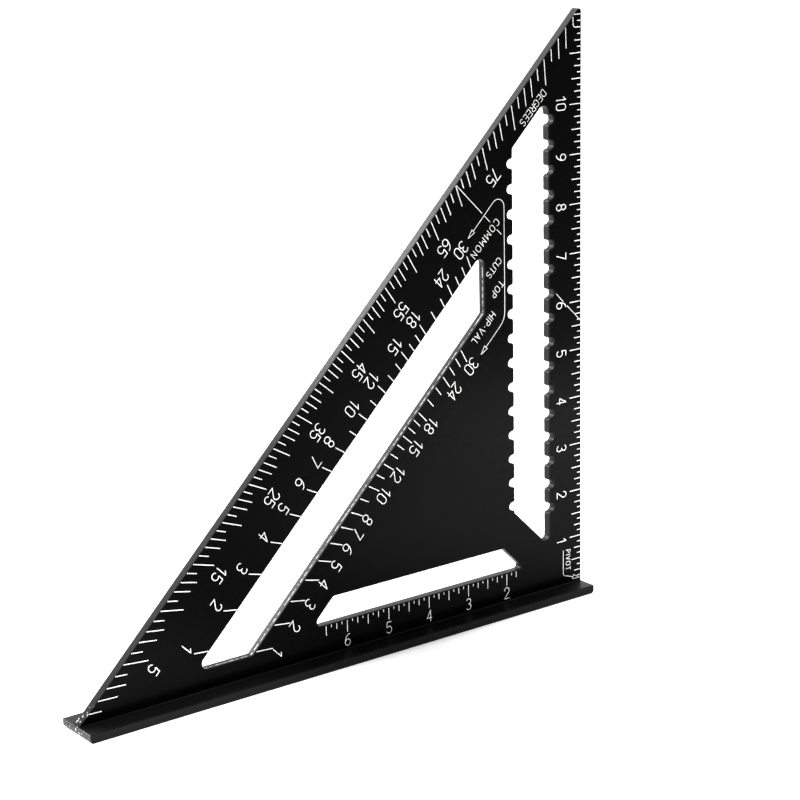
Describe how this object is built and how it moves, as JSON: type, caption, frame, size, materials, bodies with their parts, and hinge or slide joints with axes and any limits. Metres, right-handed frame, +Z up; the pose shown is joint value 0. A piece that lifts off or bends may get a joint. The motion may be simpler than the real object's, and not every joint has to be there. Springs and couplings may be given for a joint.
{
  "type": "speed square",
  "caption": "Black anodised aluminium rafter square: right-angled blade with a slanted slot, a notched slot and a base window, on a cross fence.",
  "frame": {"origin": "middle of the fence's flat underside, which is the bottom of the part", "axes": "+Z up along the ruled upright edge, X along the fence with the pivot corner at +X, the marked face of the blade towards -Y"},
  "size_m": [0.303, 0.026, 0.3056],
  "materials": {
    "anodised_web": "black anodised, satin",
    "anodised_foot": "black anodised, semi-gloss",
    "engraving_infill": "white paint filled into the engraved scales"
  },
  "bodies": {
    "root": {"blade": "anodised_web", "fence": "anodised_foot"}
  },
  "joints": []
}
